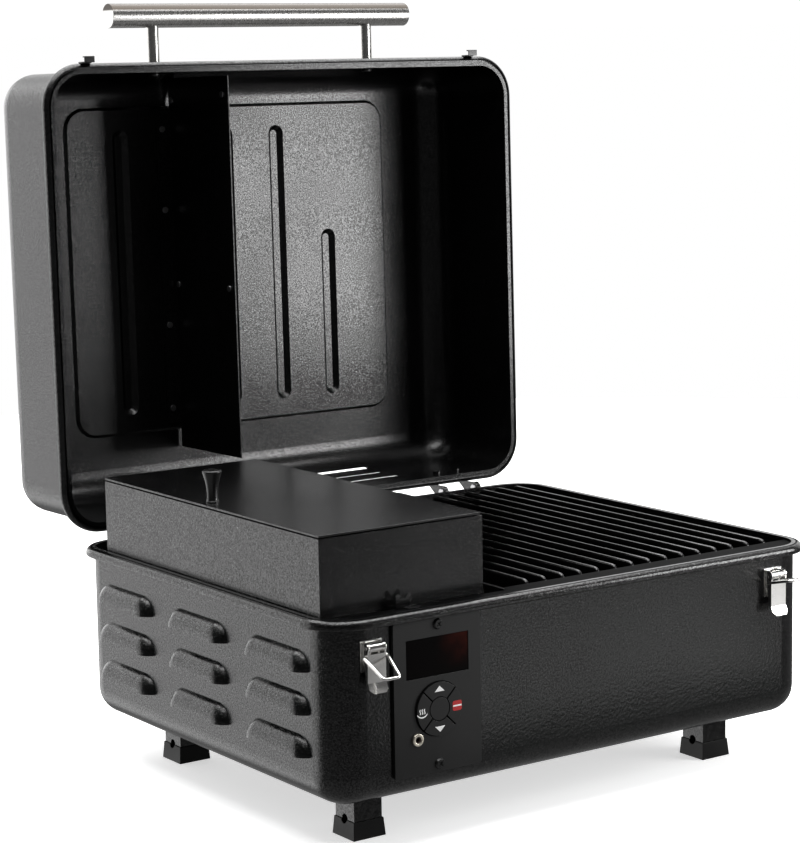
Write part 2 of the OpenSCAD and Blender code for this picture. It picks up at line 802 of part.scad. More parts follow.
// Small bent clip on the ledge that holds a probe's wire
module probe_clip() {
  z = ledge_z + sheet_t;
  color(coat) {
    along_y(-196, -194.8) polygon([
      [-187, z], [-172, z], [-172, z + 12], [-174.5, z + 13.5], [-176, z + 12], [-178, z + 9],
      [-181, z + 9], [-183, z + 12], [-184.5, z + 13.5], [-187, z + 12]
    ]);
    box([-178, -200, z], [-164, -196, z + 1.2]);
  }
}

// ---------- feet ----------

module foot_tubes() {
  half = foot_w/2;
  color(coat) at_feet() difference() {
    box([-half, -half, 3], [half, half, tub_z]);
    box([2 - half, 2 - half, 2], [half - 2, half - 2, tub_z - 3]);
    rod_x(4, -half - 1, half + 1, 0, 16);
    translate([0, 0, tub_z - 5]) cylinder(r = foot_bolt_r + run_gap, h = 10);
  }
}

// Square cap, a little wider at the floor
module foot_caps() {
  a = foot_cap_w[0]/2;
  b = foot_cap_w[1]/2;
  half = foot_w/2 + 0.05;
  side = [[-a, 0], [a, 0], [b, foot_cap_z], [-b, foot_cap_z]];
  color("#101010") at_feet() difference() {
    intersection() {
      along_x(-a, a) polygon(side);
      along_y(-a, a) polygon(side);
    }
    box([-half, -half, 3], [half, half, foot_cap_z + 1]);
    rod_x(4, -a - 1, a + 1, 0, 16);
  }
}

module foot_bolts() {
  color(steel) at_feet() translate([0, 0, tub_z - 3]) {
    cylinder(r = foot_bolt_r, h = 3 + skin_t);
    translate([0, 0, 3 + skin_t]) cylinder(r = 5.5, h = 4, $fn = 6);
  }
}

// ---------- grate ----------

module grate() {
  last = grate_x0 + (bar_count - 1)*bar_pitch;
  color("#141414") intersection() {
    cavity(1);
    union() {
      for (i = [0:bar_count - 1]) translate([grate_x0 + i*bar_pitch, 0, grate_z])
        along_y(grate_y[0], grate_y[1]) polygon([
          [-bar_foot_w/2, 0], [bar_foot_w/2, 0], [bar_top_w/2, bar_h - 2],
          [bar_top_w/2 - 1, bar_h], [1 - bar_top_w/2, bar_h], [-bar_top_w/2, bar_h - 2]
        ]);
      for (y = [grate_y[0], 30, grate_y[1] - cross_w])
        box([grate_x0 - bar_top_w/2, y, grate_z], [last + bar_top_w/2, y + cross_w, grate_z + cross_h]);
    }
  }
}

// ---------- latches ----------

module at_latch(side) {
  translate([side*latch_x + latch_shift, 0, 0]) children();
}

// A 2D ear in (Y, Z): a disc on the pivot joined back to the wall
module latch_ear() {
  translate([latch_y, latch_z]) circle(4.4);
  translate([latch_y, latch_z - 4.4]) square([-wall_y - latch_y - 0.5, 8.8]);
}

module latch_bases() {
  color(nickel) for (side = [-1, 1]) at_latch(side) {
    difference() {
      union() {
        box([-10.5, -wall_y - 1.2, 158], [10.5, -wall_y, latch_z + 5.5]);
        both_sides() along_x(latch_ear_x[0], latch_ear_x[1]) latch_ear();
      }
      rod_x(latch_pin_r, -20, 20, latch_y, latch_z);
    }
    for (z = [162, 168]) rod_y(2, -wall_y - 2, -wall_y - 1.2, 0, z);
  }
}

// Pivot pin and the sleeve on it between the ears
module latch_pins() {
  color(nickel) for (side = [-1, 1]) at_latch(side) {
    rod_x(latch_pin_r, -lever_x[1], lever_x[1], latch_y, latch_z);
    rod_x(3.6, 0.1 - latch_ear_x[0], latch_ear_x[0] - 0.1, latch_y, latch_z);
  }
}

// Lever: two side flanges on the pin and a plate whose tip curls outwards
module latch_lever(side) {
  face_y = latch_y - 3;
  top_z = latch_z - 4.6;
  curl_z = latch_z - 29;
  color(nickel) at_latch(side) difference() {
    union() {
      both_sides() along_x(lever_x[0], lever_x[1]) {
        translate([latch_y, latch_z]) circle(4.2);
        polygon([
          [latch_y - 4.2, latch_z], [latch_y + 4.2, latch_z], [latch_y + 3.2, bail_pivot[1] - 3],
          [face_y + 2.2, curl_z], [face_y, curl_z], [face_y, top_z]
        ]);
      }
      along_x(-lever_x[1], lever_x[1]) polygon([
        [face_y, top_z], [face_y + 1.2, top_z], [face_y + 1.2, curl_z], [face_y - 1, curl_z - 4],
        [face_y - 3.6, curl_z - 7.5], [face_y - 4.6, curl_z - 6.8], [face_y - 2, curl_z - 3], [face_y, curl_z + 1]
      ]);
    }
    rod_x(latch_pin_r + run_gap, -20, 20, latch_y, latch_z);
    rod_x(bail_r + 0.08, -20, 20, bail_pivot[0], bail_pivot[1]);
    for (x = [-1, 1]) along_y(face_y - 8, face_y + 3) translate([x*lever_x[1], curl_z - 7.5])
      rotate(45) square(5, center = true);
  }
}

module latch_lever_left() { latch_lever(-1); }
module latch_lever_right() { latch_lever(1); }

// Wire loop drawn lying level, its far bar towards -Y, then tilted about its pivot
module latch_bail(side, tilt) {
  end_x = lever_x[0] + 0.1;
  leg = [bail_half_w[0] - bail_half_w[1], bail_l];
  color(nickel) at_latch(side) translate([0, bail_pivot[0], bail_pivot[1]]) rotate([-tilt, 0, 0]) {
    both_sides() {
      rod_x(bail_r, end_x, bail_half_w[0], 0, 0);
      translate([bail_half_w[0], 0, 0]) sphere(bail_r*bend_swell);
      translate([bail_half_w[0], 0, 0]) rotate([90, 0, -atan2(leg[0], leg[1])])
        cylinder(r = bail_r, h = norm(leg));
      translate([bail_half_w[1], -bail_l, 0]) sphere(bail_r*bend_swell);
    }
    rod_x(bail_r, -bail_half_w[1], bail_half_w[1], -bail_l, 0);
  }
}

module latch_bail_left() { latch_bail(-1, -bail_droop); }
module latch_bail_right() { latch_bail(1, bail_lift); }

// ---------- lid hinges ----------

module tub_hinge_brackets() {
  plate_t = 2;
  color(coat) both_sides() difference() {
    union() {
      box([hinge_x - tub_ear_x - hinge_ear_t, wall_y, 164], [hinge_x + tub_ear_x + hinge_ear_t, wall_y + plate_t, 189]);
      for (x = [-tub_ear_x - hinge_ear_t, tub_ear_x]) along_x(hinge_x + x, hinge_x + x + hinge_ear_t) {
        translate([hinge_y, hinge_z]) circle(hinge_ear_r);
        polygon([
          [wall_y, 164], [wall_y + 8, 170], [hinge_y + hinge_ear_r, hinge_z - 6],
          [hinge_y + hinge_ear_r, hinge_z], [hinge_y - hinge_ear_r, hinge_z],
          [hinge_y - hinge_ear_r, rim_z - rim_h - 2], [wall_y, rim_z - rim_h - 2]
        ]);
      }
    }
    rod_x(hinge_pin_r + run_gap, hinge_x - 40, hinge_x + 40, hinge_y, hinge_z);
    for (s = [-12, 12]) rod_y(2.6, wall_y - 1, wall_y + 4, hinge_x + s, 174);
  }
}

module tub_hinge_screws() {
  color(coat) both_sides() for (s = [-12, 12]) {
    rod_y(2.5, in_y, wall_y + 2, hinge_x + s, 174);
    rod_y(4.5, wall_y + 2, wall_y + 4.5, hinge_x + s, 174);
    translate([hinge_x + s, in_y, 174]) rotate([90, 0, 0]) cylinder(r = 4.6, h = 3.5, $fn = 6);
  }
}

module lid_hinge_brackets() {
  plate_t = 2;
  foot_z = lid_z + rim_h + 2;
  color(coat) on_lid() both_sides() difference() {
    union() {
      box([hinge_x - lid_ear_x - hinge_ear_t, wall_y, foot_z],
          [hinge_x + lid_ear_x + hinge_ear_t, wall_y + plate_t, foot_z + 22]);
      for (x = [-lid_ear_x - hinge_ear_t, lid_ear_x]) along_x(hinge_x + x, hinge_x + x + hinge_ear_t) {
        translate([hinge_y, hinge_z]) circle(hinge_ear_r - 0.6);
        polygon([
          [wall_y, foot_z], [hinge_y - hinge_ear_r + 0.6, foot_z], [hinge_y - hinge_ear_r + 0.6, hinge_z],
          [hinge_y + hinge_ear_r - 0.6, hinge_z], [hinge_y + hinge_ear_r - 0.6, foot_z],
          [wall_y + 8, foot_z + 18], [wall_y, foot_z + 22]
        ]);
      }
    }
    rod_x(hinge_pin_r, hinge_x - 40, hinge_x + 40, hinge_y, hinge_z);
    for (s = [-12, 12]) rod_y(2.6, wall_y - 1, wall_y + 4, hinge_x + s, lid_z + 20);
  }
}

// Four short rivet pins, one through each pair of ears
module hinge_pins() {
  gap = tub_ear_x - lid_ear_x - hinge_ear_t;
  color(steel) both_sides() for (m = [0, 1]) translate([hinge_x, 0, 0]) mirror([m, 0, 0]) {
    rod_x(hinge_pin_r, lid_ear_x, tub_ear_x + hinge_ear_t + gap, hinge_y, hinge_z);
    rod_x(4, lid_ear_x - 1.5, lid_ear_x, hinge_y, hinge_z);
    rod_x(4, tub_ear_x + hinge_ear_t + gap, tub_ear_x + hinge_ear_t + gap + 1.5, hinge_y, hinge_z);
  }
}

module hinge_bolts() {
  color(coat) on_lid() both_sides() for (s = [-12, 12]) {
    rod_y(2.5, in_y, wall_y + 2, hinge_x + s, lid_z + 20);
    rod_y(4.5, in_y - 2.5, in_y, hinge_x + s, lid_z + 20);
    translate([hinge_x + s, wall_y + 5.5, lid_z + 20]) rotate([90, 0, 0]) cylinder(r = 4.6, h = 3.5, $fn = 6);
  }
}

// ---------- lid ----------

module at_flange_rivets() {
  for (y = flange_rivet_y) translate([divider_x - divider_flange/2 - 2, y, 0]) children();
}

module lid_holes() {
  at_flange_rivets() translate([0, 0, recess_under - 1]) cylinder(r = rivet_r, h = skin_t + 2);
  for (z = slot_z) along_y(in_y - 1, wall_y + 1) translate([0, lid_z + z]) stadium(slot_x[0], slot_x[1], slot_h);
  both_sides() {
    for (s = [-12, 12]) rod_y(2.6, in_y - 1, wall_y + 1, hinge_x + s, lid_z + 20);
    rod_y(3.1, -wall_y - 1, 1 - in_y, post_x, handle_z);
  }
}

module each_rib() {
  for (i = [-2:1]) translate([rib_x + i*rib_pitch, 0, 0]) rib(rib_y[0], rib_y[1], $rib_w, rib_h);
  translate([rib_x + 2*rib_pitch, 0, 0]) rib(short_rib_y[0], short_rib_y[1], $rib_w, rib_h);
}

module lid_shell() {
  thin = 1.2;
  color(coat) on_lid() difference() {
    union() {
      difference() {
        union() {
          difference() {
            translate([0, 0, lid_top]) mirror([0, 0, 1])
              tray_solid(2*wall_x, 2*wall_y, lid_h - rim_h, wall_r, lid_edge_r);
            lid_cavity(0, lid_h);
          }
          translate([0, recess_y, lid_top - skin_t]) mirror([0, 0, 1])
            drafted_plate(recess_w + thin, recess_d + thin, recess_r, recess_h);
        }
        translate([0, recess_y, lid_top]) mirror([0, 0, 1]) drafted_plate(recess_w, recess_d, recess_r, recess_h);
      }
      translate([0, 0, lid_top - recess_h]) each_rib($rib_w = rib_w);
      translate([0, 0, lid_z + rim_h]) mirror([0, 0, 1]) rect_sweep(2*wall_x, 2*wall_y, wall_r) rim_profile();
    }
    translate([0, 0, recess_under]) each_rib($rib_w = rib_w - thin);
    lid_holes();
  }
}

// Upright sheet that closes the hopper's side off from the cooking side
module lid_divider() {
  z = [lid_z + 5, recess_under - 0.3];
  color(coat_inside) on_lid() difference() {
    intersection() {
      lid_cavity(0.3, lid_h + 5);
      union() {
        box([divider_x - sheet_t/2, -204, z[0]], [divider_x + sheet_t/2, 165, z[1]]);
        box([divider_x - divider_flange, -172, z[1] - sheet_t], [divider_x, 140, z[1]]);
      }
    }
    for (p = rivet_pos) rod_x(rivet_r, divider_x - 3, divider_x + 3, p[0], lid_z + p[1]);
    at_flange_rivets() translate([0, 0, z[1] - sheet_t - 1]) cylinder(r = rivet_r, h = sheet_t + 2);
  }
}

module divider_rivets() {
  head_r = 3.2;
  tail_r = 2.8;
  x = [divider_x - sheet_t/2, divider_x + sheet_t/2];
  z = [recess_under - 0.3 - sheet_t, lid_top - recess_h];
  color(steel) on_lid() {
    for (p = rivet_pos) {
      rod_x(rivet_r, x[0], x[1], p[0], lid_z + p[1]);
      rod_x(head_r, x[0] - 1.4, x[0], p[0], lid_z + p[1]);
      rod_x(tail_r, x[1], x[1] + 0.8, p[0], lid_z + p[1]);
    }
    at_flange_rivets() {
      translate([0, 0, z[0]]) cylinder(r = rivet_r, h = z[1] - z[0]);
      translate([0, 0, z[0] - 1.4]) cylinder(r = head_r, h = 1.4);
      translate([0, 0, z[1]]) cylinder(r = tail_r, h = 0.8);
    }
  }
}

module handle_bar() {
  color(steel) on_lid() rod_x(handle_r, -handle_l/2, handle_l/2, handle_y, handle_z);
}

module handle_posts() {
  color(steel) on_lid() both_sides() difference() {
    rod_y(post_r, handle_y, -wall_y, post_x, handle_z);
    rod_x(handle_r, 0, handle_l, handle_y, handle_z);
    rod_y(foot_bolt_r, -wall_y - 18, -wall_y + 1, post_x, handle_z);
  }
}

module handle_screws() {
  color(steel) on_lid() both_sides() {
    rod_y(foot_bolt_r, -wall_y - 16, -in_y, post_x, handle_z);
    rod_y(5, -in_y, -in_y + 3, post_x, handle_z);
  }
}

// Hooks on the lid's rim that the bails pull down on
module lid_catches() {
  y = -rim_d/2;
  z = lid_z;
  half_w = 5.2;
  color(nickel) on_lid() for (side = [-1, 1]) at_latch(side) along_x(-half_w, half_w) polygon([
    [y, z + 0.4], [y, z + 7], [y - 1.4, z + 7], [y - 1.5, z + 0.4], [y - 1.5, z - 4.4],
    [y - 5.2, z - 4.4], [y - 5.2, z - 1.6], [y - 6.4, z - 1.6], [y - 6.4, z - 5.6], [y - 0.6, z - 5.6],
    [y - 0.6, z + 0.4]
  ]);
}

tub();
front_ledge();
partition_wall();
support_rails();
drip_tray();
heat_baffle();
fire_pot();
fire_box();
igniter_rod();
air_duct();
fan_frame();
fan_impeller();
auger_tube();
auger_screw();
auger_gearbox();
auger_motor();
hopper_box();
hopper_funnel();
hopper_lid();
hopper_knob();
hopper_bumpers();
hopper_hinge_leaves();
hopper_lid_leaves();
hopper_hinge_pins();
control_panel();
display_lens();
controller_board();
probe_socket();
panel_screws();
button_up();
button_down();
button_left();
button_right();
button_centre();
temperature_sensor();
power_inlet();
probe_clip();
foot_tubes();
foot_caps();
foot_bolts();
grate();
latch_bases();
latch_pins();
latch_lever_left();
latch_lever_right();
latch_bail_left();
latch_bail_right();
tub_hinge_brackets();
tub_hinge_screws();
lid_shell();
lid_divider();
divider_rivets();
handle_bar();
handle_posts();
handle_screws();
lid_catches();
lid_hinge_brackets();
hinge_pins();
hinge_bolts();
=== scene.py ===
"""Looks of a tabletop wood pellet grill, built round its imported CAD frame. Metres, +Z up."""

import json
import math

import bmesh
import bpy
from mathutils import Matrix, Vector


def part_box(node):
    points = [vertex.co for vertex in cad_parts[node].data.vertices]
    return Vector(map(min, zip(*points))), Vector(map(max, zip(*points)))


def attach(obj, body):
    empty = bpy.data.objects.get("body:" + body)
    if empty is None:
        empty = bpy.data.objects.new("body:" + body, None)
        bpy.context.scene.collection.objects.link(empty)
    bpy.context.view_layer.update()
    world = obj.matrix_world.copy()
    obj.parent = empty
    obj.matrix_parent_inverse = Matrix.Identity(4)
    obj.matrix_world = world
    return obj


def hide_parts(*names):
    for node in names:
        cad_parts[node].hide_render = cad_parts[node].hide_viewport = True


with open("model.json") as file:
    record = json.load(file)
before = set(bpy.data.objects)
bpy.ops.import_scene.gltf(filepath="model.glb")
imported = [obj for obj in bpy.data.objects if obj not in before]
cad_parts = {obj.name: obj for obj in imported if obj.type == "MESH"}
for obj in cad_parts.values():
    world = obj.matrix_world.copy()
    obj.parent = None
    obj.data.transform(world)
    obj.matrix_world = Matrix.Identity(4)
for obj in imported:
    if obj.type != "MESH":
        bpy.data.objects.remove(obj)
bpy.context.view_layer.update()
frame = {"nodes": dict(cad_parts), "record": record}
MM = 0.001
WHITE = (1, 1, 1, 1)
VIEW_YAW = 0.61
FORWARD = (math.sin(VIEW_YAW), math.cos(VIEW_YAW), 0)
RIGHT = (math.cos(VIEW_YAW), -math.sin(VIEW_YAW), 0)
# Nodes whose coat differs from their slot's.
COATS = {"lid_shell": "coat_lid", "front_ledge": "coat_ledge"}


# ---------- camera, stage and light ----------

def place_camera():
    """Puts the camera low at the front left, level with the open lid's middle."""
    place = (-1.296, -1.8066, 0.6447)
    pitch, roll = -0.151, -0.017
    forward = Vector(FORWARD) * math.cos(pitch) + Vector((0, 0, math.sin(pitch)))
    level = Vector(RIGHT)
    right = math.cos(roll) * level + math.sin(roll) * level.cross(forward)
    up = right.cross(forward)
    data = bpy.data.cameras.new("camera")
    data.sensor_width = 36
    data.lens = 105.5
    data.shift_x = -0.0114
    data.shift_y = 0.0101
    data.clip_end = 60
    camera = bpy.data.objects.new("camera", data)
    turn = Matrix((right, up, -forward)).transposed().to_4x4()
    camera.matrix_world = Matrix.Translation(place) @ turn
    bpy.context.scene.collection.objects.link(camera)
    bpy.context.scene.camera = camera


def add_area_light(name, place, target, along, size, radiance):
    """A soft light that points from place to target, unseen itself. size is along and across."""
    data = bpy.data.lights.new(name, "AREA")
    data.shape = "RECTANGLE"
    data.size, data.size_y = size
    data.energy = radiance * math.pi * size[0] * size[1]
    light = bpy.data.objects.new(name, data)
    back = (Vector(place) - Vector(target)).normalized()
    first = (Vector(along) - back * back.dot(Vector(along))).normalized()
    turn = Matrix((first, back.cross(first), back)).transposed().to_4x4()
    light.matrix_world = Matrix.Translation(place) @ turn
    light.visible_camera = False
    bpy.context.scene.collection.objects.link(light)


def add_light_card(name, outline, height, radiance):
    """A level bright card near the floor that only reflections see."""
    material, _, shader = new_material(name, Emission_Strength=radiance)
    shader.inputs["Base Color"].default_value = (0, 0, 0, 1)
    shader.inputs["Emission Color"].default_value = WHITE
    bm = bmesh.new()
    bm.faces.new([bm.verts.new((x, y, height)) for x, y in outline])
    mesh = bpy.data.meshes.new(name)
    bm.to_mesh(mesh)
    bm.free()
    mesh.materials.append(material)
    card = bpy.data.objects.new(name, mesh)
    card.visible_camera = False
    card.visible_diffuse = False
    card.visible_shadow = False
    bpy.context.scene.collection.objects.link(card)


def build_stage():
    """A round pale floor. Reflections see the soft room in its place."""
    radius, sides = 2.4, 96
    material, _, shader = new_material("stage_white", Roughness=0.9, Specular_IOR_Level=0.1,
                                       Emission_Strength=0.6)
    shader.inputs["Base Color"].default_value = (0.93, 0.93, 0.93, 1)
    shader.inputs["Emission Color"].default_value = WHITE
    bm = bmesh.new()
    bmesh.ops.create_circle(bm, cap_ends=True, segments=sides, radius=radius)
    mesh = bpy.data.meshes.new("stage_floor")
    bm.to_mesh(mesh)
    bm.free()
    mesh.materials.append(material)
    floor = bpy.data.objects.new("stage_floor", mesh)
    floor.visible_glossy = False
    floor.visible_diffuse = False
    bpy.context.scene.collection.objects.link(floor)


def soft_room():
    """A white surround that lights the grill from the left, the back and the top more than the front."""
    world = bpy.data.worlds.new("soft_room")
    world.use_nodes = True
    tree = world.node_tree
    towards = add(tree, "TexCoord").outputs["Generated"]

    def glow(axis, start, full, radiance):
        """Light from round an axis, which sets in at the cosine start and is full at the cosine full."""
        along = add(tree, "VectorMath", {"operation": "DOT_PRODUCT"})
        tree.links.new(towards, along.inputs[0])
        along.inputs[1].default_value = axis
        return add(tree, "MapRange", {"clamp": True, "interpolation_type": "SMOOTHSTEP"},
                   Value=along.outputs["Value"], From_Min=start, From_Max=full,
                   To_Min=0.0, To_Max=radiance).outputs["Result"]

    up, down, left = (0, 0, 1), (0, 0, -1), (-0.47, 0.883, 0)
    above_floor = glow(up, -0.12, 0.05, 1.0)
    from_left = glow(left, 0.70, 0.88, 1.5)
    from_back = combine(tree, "MULTIPLY", glow(FORWARD, 0.4, 0.8, 1.1), above_floor)
    from_above = glow(up, 0.55, 0.95, 0.8)
    from_below = glow(down, 0.0, 0.5, 0.22)
    everywhere = 0.06
    total = everywhere
    for part in (from_left, from_back, from_above, from_below):
        total = combine(tree, "ADD", part, total)
    seen = add(tree, "LightPath").outputs["Is Camera Ray"]
    strength = combine(tree, "MAXIMUM", seen, total)
    tree.links.new(strength, tree.nodes["Background"].inputs["Strength"])
    tree.nodes["Background"].inputs["Color"].default_value = WHITE
    bpy.context.scene.world = world


def light_stage():
    """The soft room, a wide light overhead, one for the lid's inside and a card for the front wall."""
    soft_room()
    bpy.context.scene.view_settings.view_transform = "Standard"
    add_area_light("light_top", (0.2, 0.5, 3.2), (0, 0.1, 0), (1, 0, 0), (4.4, 4.4), 4.0)
    add_area_light("light_lid", (0.86, -0.74, 0.47), (0.05, 0.34, 0.45), RIGHT, (0.55, 0.5), 10.0)
    card = [(-0.04, -0.45), (0.47, -0.45), (1.12, -1.12), (0.46, -1.12)]
    add_light_card("light_card_front", card, 0.004, 0.85)


# ---------- shader helpers ----------

def add(tree, kind, settings=None, **inputs):
    """Adds a shader node. Inputs are named with _ for a space, and are values or other nodes' outputs."""
    node = tree.nodes.new("ShaderNode" + kind)
    for key, value in (settings or {}).items():
        setattr(node, key, value)
    for key, value in inputs.items():
        socket = node.inputs[key.replace("_", " ")]
        if isinstance(value, bpy.types.NodeSocket):
            tree.links.new(value, socket)
        else:
            socket.default_value = value
    return node


def combine(tree, operation, a, b):
    """A math node on two values or outputs."""
    node = tree.nodes.new("ShaderNodeMath")
    node.operation = operation
    for socket, value in zip(node.inputs, (a, b)):
        if isinstance(value, bpy.types.NodeSocket):
            tree.links.new(value, socket)
        else:
            socket.default_value = value
    return node.outputs[0]


def new_material(name, **constants):
    """A Principled material, its node tree and its shader node."""
    material = bpy.data.materials.new(name)
    material.use_nodes = True
    tree = material.node_tree
    shader = tree.nodes["Principled BSDF"]
    for key, value in constants.items():
        shader.inputs[key.replace("_", " ")].default_value = value
    return material, tree, shader


def noise(tree, scale, detail=2.0, roughness=0.5, vector=None):
    """Noise in the piece's own coordinates, scale in features a metre."""
    vector = vector or add(tree, "TexCoord").outputs["Object"]
    node = add(tree, "TexNoise", Vector=vector, Scale=scale, Detail=detail, Roughness=roughness)
    return node.outputs["Fac"]


def ramp(tree, value, low, high, to_low=0.0, to_high=1.0):
    """Eases from to_low to to_high as value goes from low to high."""
    return add(tree, "MapRange", {"clamp": True, "interpolation_type": "SMOOTHSTEP"}, Value=value,
               From_Min=low, From_Max=high, To_Min=to_low, To_Max=to_high).outputs["Result"]


def mix_colour(tree, factor, a, b):
    """The colour a where factor is 0 and b where it is 1. Each is a colour or an output."""
    node = add(tree, "Mix", {"data_type": "RGBA"})
    tree.links.new(factor, node.inputs[0])
    for socket, value in ((node.inputs[6], a), (node.inputs[7], b)):
        if isinstance(value, bpy.types.NodeSocket):
            tree.links.new(value, socket)
        else:
            socket.default_value = (*value, 1)
    return node.outputs[2]


def bump(tree, height, strength, distance, under=None):
    """A normal whose relief is distance metres deep, on top of the normal under."""
    node = add(tree, "Bump", Height=height, Strength=strength, Distance=distance)
    if under:
        tree.links.new(under, node.inputs["Normal"])
    return node.outputs["Normal"]


# ---------- materials ----------

def powder_coat(name, dark, pale, rough, grain, depth, specks=0.0):
    """Dark coated metal: a hammered grain, a trace of pale dust, and glints if specks gives their height."""
    material, tree, shader = new_material(name)
    fine = noise(tree, grain, 2.0, 0.5)
    slow = noise(tree, 9.0, 2.0)
    dust = ramp(tree, noise(tree, 55.0, 4.0, 0.7), 0.5, 0.85)
    tree.links.new(mix_colour(tree, dust, dark, pale), shader.inputs["Base Color"])
    tree.links.new(ramp(tree, slow, 0.2, 0.8, rough - 0.04, rough + 0.04), shader.inputs["Roughness"])
    relief = bump(tree, fine, 1.0, depth)
    if specks:
        glint = ramp(tree, noise(tree, 1300.0, 1.0), 0.6, 0.74)
        relief = bump(tree, glint, 1.0, specks, relief)
    tree.links.new(relief, shader.inputs["Normal"])
    shine = ramp(tree, noise(tree, 700.0, 1.0), 0.3, 0.7, 0.26, 0.74)
    if specks:
        shine = combine(tree, "ADD", shine, glint)
    tree.links.new(shine, shader.inputs["Specular IOR Level"])
    return material


def plain_metal(name, colour, rough, grain=900.0, spread=0.07):
    """Bare or plated metal: faint stains, and a grain that changes its roughness by spread."""
    material, tree, shader = new_material(name, Metallic=1.0)
    fine = noise(tree, grain, 3.0, 0.6)
    slow = noise(tree, 30.0, 2.0)
    stain = ramp(tree, noise(tree, 70.0, 4.0, 0.65), 0.6, 0.85)
    pale = tuple(min(1.0, c * 1.1) for c in colour)
    dull = tuple(c * 0.78 for c in colour)
    clean = mix_colour(tree, ramp(tree, slow, 0.3, 0.7), colour, pale)
    tree.links.new(mix_colour(tree, stain, clean, dull), shader.inputs["Base Color"])
    tree.links.new(ramp(tree, fine, 0.3, 0.7, rough - spread / 2, rough + spread), shader.inputs["Roughness"])
    tree.links.new(bump(tree, fine, 0.4, 0.00001), shader.inputs["Normal"])
    return material


def moulded(name, dark, pale, rough, grain=1600.0, depth=0.00005, shine=0.5):
    """Plastic, rubber or dull paint with a fine matt grain and faint scuffs."""
    material, tree, shader = new_material(name, Specular_IOR_Level=shine)
    fine = noise(tree, grain, 2.0)
    slow = noise(tree, 25.0, 3.0)
    scuff = ramp(tree, noise(tree, 110.0, 4.0, 0.7), 0.6, 0.8, 0.0, 0.08)
    tree.links.new(mix_colour(tree, ramp(tree, slow, 0.35, 0.7), dark, pale), shader.inputs["Base Color"])
    base = ramp(tree, slow, 0.3, 0.7, rough - 0.03, rough + 0.05)
    tree.links.new(combine(tree, "ADD", base, scuff), shader.inputs["Roughness"])
    tree.links.new(bump(tree, fine, 0.6, depth), shader.inputs["Normal"])
    return material


def brushed_bar(name):
    """Stainless bar brushed round its length. Painted shade turns it dark brown on the side that is up with
    the lid open.
    """
    material, tree, shader = new_material(name, Metallic=1.0)
    place = add(tree, "TexCoord").outputs["Object"]
    lines = add(tree, "Mapping", Vector=place, Scale=(1, 0.03, 0.03)).outputs["Vector"]
    fine = noise(tree, 1500.0, 4.0, 0.7, lines)
    broad = noise(tree, 120.0, 3.0, 0.6, lines)
    tone = mix_colour(tree, ramp(tree, broad, 0.3, 0.7), (0.68, 0.665, 0.64), (0.77, 0.76, 0.74))
    clean = mix_colour(tree, ramp(tree, fine, 0.35, 0.8), tone, (0.55, 0.54, 0.53))
    lo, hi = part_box("handle_bar")
    level = add(tree, "SeparateXYZ", Vector=place).outputs["Z"]
    # Painted shade: the top of the bar is mixed to a dark brown so it stays dark under the lamp overhead.
    painted_top_shade = ramp(tree, level, lo[2] + 0.68 * (hi[2] - lo[2]), lo[2] + 0.76 * (hi[2] - lo[2]))
    painted_shade_brown = (0.06, 0.052, 0.045)
    tree.links.new(mix_colour(tree, painted_top_shade, clean, painted_shade_brown), shader.inputs["Base Color"])
    tree.links.new(ramp(tree, fine, 0.3, 0.7, 0.22, 0.30), shader.inputs["Roughness"])
    tree.links.new(bump(tree, fine, 0.3, 0.00003), shader.inputs["Normal"])
    return material


def display_glass(name):
    """Tinted window over a dark display: nearly black, with a painted red-brown reflection towards its upper
    right.
    """
    material, tree, shader = new_material(name, Roughness=0.3, Specular_IOR_Level=0.04)
    lo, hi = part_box("display_lens")
    axes = add(tree, "SeparateXYZ", Vector=add(tree, "TexCoord").outputs["Object"])
    across = ramp(tree, axes.outputs["X"], lo[0] + 0.45 * (hi[0] - lo[0]), hi[0])
    up = ramp(tree, axes.outputs["Z"], lo[2], hi[2])
    cloud = ramp(tree, noise(tree, 90.0, 2.0), 0.3, 0.7, 0.4, 1.0)
    # Painted reflection: a red-brown patch mixed into the colour towards the upper right, broken up by noise.
    painted_reflection = combine(tree, "MULTIPLY", combine(tree, "MULTIPLY", across, up), cloud)
    dark, reflection_red_brown = (0.0015, 0.001, 0.001), (0.045, 0.008, 0.005)
    tree.links.new(mix_colour(tree, painted_reflection, dark, reflection_red_brown), shader.inputs["Base Color"])
    smear = noise(tree, 160.0, 3.0)
    tree.links.new(bump(tree, smear, 0.1, 0.00005), shader.inputs["Normal"])
    return material


def ink(name, colour):
    """Printed mark: flat ink with a slight mottle, which also glows faintly in its own colour as painted
    light.
    """
    # Painted light: the ink emits a little of its own colour so the marks look brighter.
    material, tree, shader = new_material(name, Emission_Strength=0.25)
    shader.inputs["Emission Color"].default_value = (*colour, 1)
    mottle = noise(tree, 2500.0, 2.0)
    dull = tuple(c * 0.85 for c in colour)
    tree.links.new(mix_colour(tree, mottle, colour, dull), shader.inputs["Base Color"])
    tree.links.new(ramp(tree, mottle, 0.3, 0.7, 0.45, 0.6), shader.inputs["Roughness"])
    return material


def grey(value):
    """A neutral colour."""
    return (value, value, value)


